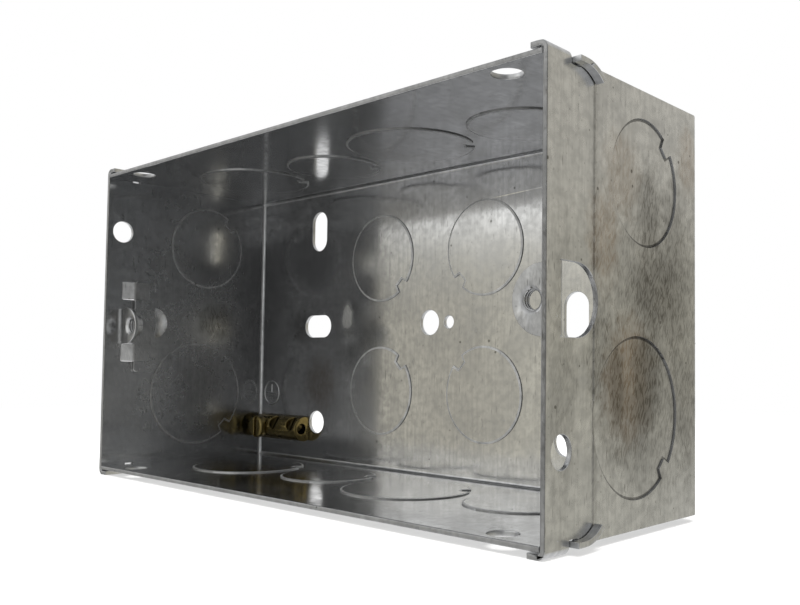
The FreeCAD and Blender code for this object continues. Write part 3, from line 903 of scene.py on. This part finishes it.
def scatter_tree(material):
    """Zinc grains scattered over a mesh."""
    tree, given, result = new_group("Zinc grains", "GeometryNodeTree", Geometry=None, Density=9000.0,
                                    Grain_Size=0.16 * MM, Seed=7)
    spots = add(tree, "GeometryNodeDistributePointsOnFaces",
                {"Mesh": given["Geometry"], "Density": given["Density"], "Seed": given["Seed"]})
    ball = add(tree, "GeometryNodeMeshIcoSphere",
               {"Radius": given["Grain Size"], "Subdivisions": GRAIN_FINENESS})
    smooth = add(tree, "GeometryNodeSetShadeSmooth", {0: ball})
    grain = add(tree, "GeometryNodeTransform", {"Geometry": smooth, "Scale": (1.0, 1.0, GRAIN_FLATNESS)})
    size = add(tree, "FunctionNodeRandomValue", {2: SMALLEST_GRAIN, 3: 1.0, "Seed": given["Seed"]},
               data_type="FLOAT")
    grains = add(tree, "GeometryNodeInstanceOnPoints",
                 {"Points": spots.outputs["Points"], "Instance": grain,
                  "Rotation": spots.outputs["Rotation"], "Scale": size.outputs[1]})
    show_geometry(tree, grains, material, result)
    return tree


def thread_tree(material):
    """Helical ridge of a tapped hole, which rises along Z."""
    tree, given, result = new_group("Thread", "GeometryNodeTree", Radius=1.6 * MM, Length=1.6 * MM,
                                    Pitch=0.6 * MM, Ridge=0.12 * MM)
    turns = calculate(tree, "DIVIDE", given["Length"], given["Pitch"])
    helix = add(tree, "GeometryNodeCurveSpiral",
                {"Resolution": THREAD_STEPS, "Rotations": turns, "Start Radius": given["Radius"],
                 "End Radius": given["Radius"], "Height": given["Length"]})
    show_geometry(tree, sweep(tree, helix, RIDGE_SIDES, given["Ridge"]), material, result)
    return tree


def sign_tree(material):
    """Earth sign in a ring: a stem and three bars that grow shorter, in the XY plane."""
    tree, given, result = new_group("Earth sign", "GeometryNodeTree", Radius=3.2 * MM, Line=0.36 * MM)
    lines = add(tree, "GeometryNodeJoinGeometry", {0: circle(tree, RING_SIDES, given["Radius"])})
    scale = add(tree, "ShaderNodeCombineXYZ", {axis: given["Radius"] for axis in range(3)}).outputs[0]
    for start, end in SIGN_STROKES:
        stroke = add(tree, "GeometryNodeCurvePrimitiveLine", {"Start": (*start, 0), "End": (*end, 0)})
        sized = add(tree, "GeometryNodeTransform", {"Geometry": stroke, "Scale": scale})
        tree.links.new(sized.outputs[0], lines.inputs[0])
    half = calculate(tree, "MULTIPLY", given["Line"], 0.5)
    raised = sweep(tree, lines, LINE_SIDES, half)
    flat = add(tree, "GeometryNodeTransform", {"Geometry": raised, "Scale": (1.0, 1.0, SIGN_FLATNESS)})
    show_geometry(tree, flat, material, result)
    return tree


def grown_piece(name, tree, material, base=None, **inputs):
    """Object whose mesh a node tree makes, with the tree's inputs by name."""
    mesh = base.copy() if base else bpy.data.meshes.new(name)
    piece = link_piece(name, mesh, material)
    modifier = piece.modifiers.new(name, "NODES")
    modifier.node_group = tree
    named = {key.replace("_", " "): value for key, value in inputs.items()}
    for socket in tree.interface.items_tree:
        if socket.in_out == "INPUT" and socket.name in named:
            modifier[socket.identifier] = named[socket.name]
    return settle(piece)


def move_mesh(piece, matrix):
    """Puts a piece in its place by moving its mesh."""
    piece.data.transform(matrix)
    piece.data.update()


def seat_piece(piece, body):
    """Makes a piece move with a body."""
    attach(piece, body)


def mount_named(name):
    """One of the part's mounts."""
    return next(mount for mount in frame["record"]["mounts"] if mount["name"] == name)


# Operators

class BACKBOX_OT_folded_sheet(bpy.types.Operator):
    """Finish the folded sheet: rounded edges and worn zinc"""
    bl_idname = "backbox.folded_sheet"
    bl_label = "Folded Sheet"

    def execute(self, context):
        finish = context.scene.backbox_sheet
        work = merged_mesh("box_body")
        planes = broad_planes(work)
        join_discs(work, planes, finish.knockout_step)
        walls = shear_walls(work, planes, finish.knockout_step)
        if not walls:
            raise RuntimeError("The sheet has no knockout of this step")
        lips = roll_lips(work, walls, finish.knockout_lip, finish.lip_drop)
        mark_faces(work, planes, finish.knockout_step, walls, lips)
        sheet = rounded_piece(work, "folded_sheet", zinc_material(finish), finish.edge_rounding,
                              finish.cut_rounding, planes)
        level_normals(sheet.data, stepped(planes, finish.knockout_step))
        unroll_sheet(sheet.data)
        seat_piece(sheet, "box")
        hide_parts("box_body")
        return {"FINISHED"}


class BACKBOX_OT_sliding_lug(bpy.types.Operator):
    """Finish the sliding lug"""
    bl_idname = "backbox.sliding_lug"
    bl_label = "Sliding Lug"

    def execute(self, context):
        finish = context.scene.backbox_sheet
        work = merged_mesh("adjustable_lug")
        worked = work.faces.layers.float[WORKED]
        for face in work.faces:
            face[worked] = float(abs(face.normal.x) < LUG_FLAT)
        lug = rounded_piece(work, "sliding_lug_plate", bpy.data.materials["Worn zinc"], finish.edge_rounding,
                            finish.cut_rounding)
        unroll_sheet(lug.data)
        seat_piece(lug, "sliding_lug")
        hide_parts("adjustable_lug")
        return {"FINISHED"}


class BACKBOX_OT_earth_terminal(bpy.types.Operator):
    """Finish the brass bar and its screws"""
    bl_idname = "backbox.earth_terminal"
    bl_label = "Earth Terminal"

    def execute(self, context):
        finish = context.scene.backbox_brass
        brass = brass_material(finish)
        for node, name in (("earth_terminal", "brass_bar"), ("terminal_screw", "brass_fixing_screw"),
                           ("clamp_screws", "brass_clamp_screws")):
            work = merged_mesh(node)
            worked = work.faces.layers.float[WORKED]
            # The Worked layer marks the clamp screws, which the brass paints with shade
            for face in work.faces:
                face[worked] = float(node == "clamp_screws")
            piece = rounded_piece(work, name, brass, finish.edge_rounding)
            seat_piece(piece, "box")
            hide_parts(node)
        return {"FINISHED"}


class BACKBOX_OT_lug_threads(bpy.types.Operator):
    """Cut the threads of the two lugs' screw holes"""
    bl_idname = "backbox.lug_threads"
    bl_label = "Lug Threads"

    def execute(self, context):
        sizes = context.scene.backbox_details
        zinc = bpy.data.materials["Worn zinc"]
        tree = thread_tree(zinc)
        for name, body in (("fixed_lug_hole", "box"), ("sliding_lug_hole", "sliding_lug")):
            mount = mount_named(name)
            length = mount["dims"]["length_mm"] * MM
            radius = mount["dims"]["r_mm"] * MM
            thread = grown_piece(f"{name}_thread", tree, zinc, Radius=radius, Length=length,
                                 Pitch=sizes.thread_pitch, Ridge=sizes.thread_ridge)
            middle = Vector(mount["pos_m"])
            turn = Vector(mount["axis"]).to_track_quat("Z", "Y").to_matrix().to_4x4()
            move_mesh(thread, Matrix.Translation(middle) @ turn @ Matrix.Translation((0, 0, -length / 2)))
            seat_piece(thread, body)
        return {"FINISHED"}


class BACKBOX_OT_earth_sign(bpy.types.Operator):
    """Stamp the earth sign beside the terminal"""
    bl_idname = "backbox.earth_sign"
    bl_label = "Earth Sign"

    def execute(self, context):
        sizes = context.scene.backbox_details
        zinc = bpy.data.materials["Worn zinc"]
        sign = grown_piece("earth_sign", sign_tree(zinc), zinc, Radius=sizes.sign_radius,
                           Line=sizes.sign_line)
        worked = sign.data.attributes.new(WORKED, "FLOAT", "POINT")
        worked.data.foreach_set("value", [1.0] * len(sign.data.vertices))
        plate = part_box("earth_terminal")[1].y
        left = -(mount_named("fixed_lug_hole")["pos_m"][0] + LUG_HOLE_TO_FACE)
        place = Vector((left + sizes.sign_from_wall, plate, -sizes.sign_below_middle))
        move_mesh(sign, Matrix.Translation(place) @ Matrix.Rotation(math.radians(90), 4, "X"))
        seat_piece(sign, "box")
        return {"FINISHED"}


class BACKBOX_OT_zinc_grains(bpy.types.Operator):
    """Scatter the small grains that the zinc bath leaves"""
    bl_idname = "backbox.zinc_grains"
    bl_label = "Zinc Grains"

    def execute(self, context):
        finish = context.scene.backbox_sheet
        zinc = bpy.data.materials["Worn zinc"]
        sheet = bpy.data.objects["folded_sheet"].data
        grains = grown_piece("zinc_grains", scatter_tree(zinc), zinc, base=sheet, Seed=finish.grain_seed,
                             Density=finish.grain_density, Grain_Size=finish.grain_size)
        seat_piece(grains, "box")
        return {"FINISHED"}


class BACKBOX_OT_stage(bpy.types.Operator):
    """Set up the floor, the light and the camera"""
    bl_idname = "backbox.stage"
    bl_label = "Stage"

    def execute(self, context):
        stage = context.scene.backbox_stage
        self.lay_floor(stage)
        self.light_room(context, stage)
        self.hang_lamp(context, stage)
        self.aim_camera(context, stage)
        context.scene.view_settings.view_transform = "Standard"
        return {"FINISHED"}

    def lay_floor(self, stage):
        """Round floor under the box."""
        work = bmesh.new()
        bmesh.ops.create_circle(work, cap_ends=True, segments=FLOOR_SIDES, radius=stage.floor_radius,
                                matrix=Matrix.Translation((0, 0, CAD_BOX[0].z)))
        mesh = bpy.data.meshes.new("floor")
        work.to_mesh(mesh)
        work.free()
        floor = link_piece("floor", mesh, floor_material(stage))
        floor.visible_glossy = False

    def light_room(self, context, stage):
        """Soft room round the box, and white behind it."""
        world = bpy.data.worlds.new("Room")
        context.scene.world = world
        world.use_nodes = True
        tree = world.node_tree
        tree.nodes.clear()
        place = add(tree, "ShaderNodeTexCoord").outputs["Generated"]
        heading = add(tree, "ShaderNodeSeparateXYZ", {0: place}).outputs
        ahead = calculate(tree, "MULTIPLY", heading["Y"], -1.0)
        turn = calculate(tree, "ARCTAN2", heading["X"], ahead)
        share = calculate(tree, "ADD", calculate(tree, "DIVIDE", turn, math.tau), 0.5)
        room = self.round_wall(tree, share, LEVEL_BAND)
        for start, full, stops in OTHER_BANDS:
            reached = ramp(tree, calculate(tree, "DIVIDE", heading["Z"], full), start / full, 1.0)
            room = blend_colours(tree, reached, room, self.round_wall(tree, share, stops))
        room = blend_colours(tree, ramp(tree, heading["Z"], *CEILING_RISE), room, CEILING)
        lit = add(tree, "ShaderNodeBackground", {"Color": room, "Strength": stage.surroundings_strength})
        white = add(tree, "ShaderNodeBackground", {"Color": WHITE, "Strength": 1.0})
        seen = add(tree, "ShaderNodeLightPath").outputs["Is Camera Ray"]
        mixed = add(tree, "ShaderNodeMixShader", {0: seen, 1: lit, 2: white})
        add(tree, "ShaderNodeOutputWorld", {"Surface": mixed})

    def round_wall(self, tree, share, stops):
        """Colour of the room at a share of the turn round the box."""
        stops = [*WHITE_LEFT, *stops, *WHITE_RIGHT]
        wall = add(tree, "ShaderNodeValToRGB", {0: share})
        elements = wall.color_ramp.elements
        while len(elements) < len(stops):
            elements.new(0.5)
        for element, (degrees, colour) in zip(elements, stops):
            element.position = (degrees + 180) / 360
            element.color = (*(colour if isinstance(colour, tuple) else [colour] * 3), 1)
        return wall.outputs[0]

    def hang_lamp(self, context, stage):
        """Square soft light overhead, which the sheet does not mirror."""
        light = bpy.data.lights.new("Overhead light", "AREA")
        light.size = LAMP_SIZE
        light.energy = stage.overhead_power
        lamp = bpy.data.objects.new("Overhead light", light)
        lamp.location = LAMP_PLACE
        lamp.rotation_euler = (Vector(LAMP_TARGET) - Vector(LAMP_PLACE)).to_track_quat("-Z", "Y").to_euler()
        lamp.visible_camera = False
        lamp.visible_glossy = False
        context.scene.collection.objects.link(lamp)

    def aim_camera(self, context, stage):
        """Camera at the photograph's angle."""
        lens = bpy.data.cameras.new("Camera")
        lens.sensor_width = SENSOR_WIDTH
        lens.lens = stage.focal_length
        lens.shift_x, lens.shift_y = stage.shift
        lens.clip_start = MM
        camera = bpy.data.objects.new("Camera", lens)
        camera.location = stage.camera_place
        tilt = math.radians(90) + stage.camera_rise
        camera.rotation_euler = (tilt, stage.camera_roll, stage.camera_heading)
        context.scene.collection.objects.link(camera)
        context.scene.camera = camera


class BACKBOX_PT_sidebar(bpy.types.Panel):
    """Steps of the back box, in order"""
    bl_idname = "BACKBOX_PT_sidebar"
    bl_label = "Back Box"
    bl_space_type = "VIEW_3D"
    bl_region_type = "UI"
    bl_category = "Back Box"

    def draw(self, context):
        for step in STEPS:
            self.layout.operator(step.bl_idname)


STEPS = (BACKBOX_OT_folded_sheet, BACKBOX_OT_sliding_lug, BACKBOX_OT_earth_terminal, BACKBOX_OT_lug_threads,
         BACKBOX_OT_earth_sign, BACKBOX_OT_zinc_grains, BACKBOX_OT_stage)
GROUPS = {"backbox_sheet": SheetFinish, "backbox_brass": BrassFinish, "backbox_details": SignAndThread,
          "backbox_stage": StudioStage}


def register():
    for made in (*GROUPS.values(), *STEPS, BACKBOX_PT_sidebar):
        bpy.utils.register_class(made)
    for name, made in GROUPS.items():
        setattr(bpy.types.Scene, name, PointerProperty(type=made))


def unregister():
    for name in GROUPS:
        delattr(bpy.types.Scene, name)
    for made in (BACKBOX_PT_sidebar, *reversed(STEPS), *GROUPS.values()):
        bpy.utils.unregister_class(made)


def main():
    register()
    bpy.ops.backbox.folded_sheet()
    bpy.ops.backbox.sliding_lug()
    bpy.ops.backbox.earth_terminal()
    bpy.ops.backbox.lug_threads()
    bpy.ops.backbox.earth_sign()
    bpy.ops.backbox.zinc_grains()
    bpy.ops.backbox.stage()


if __name__ == "__main__":
    main()
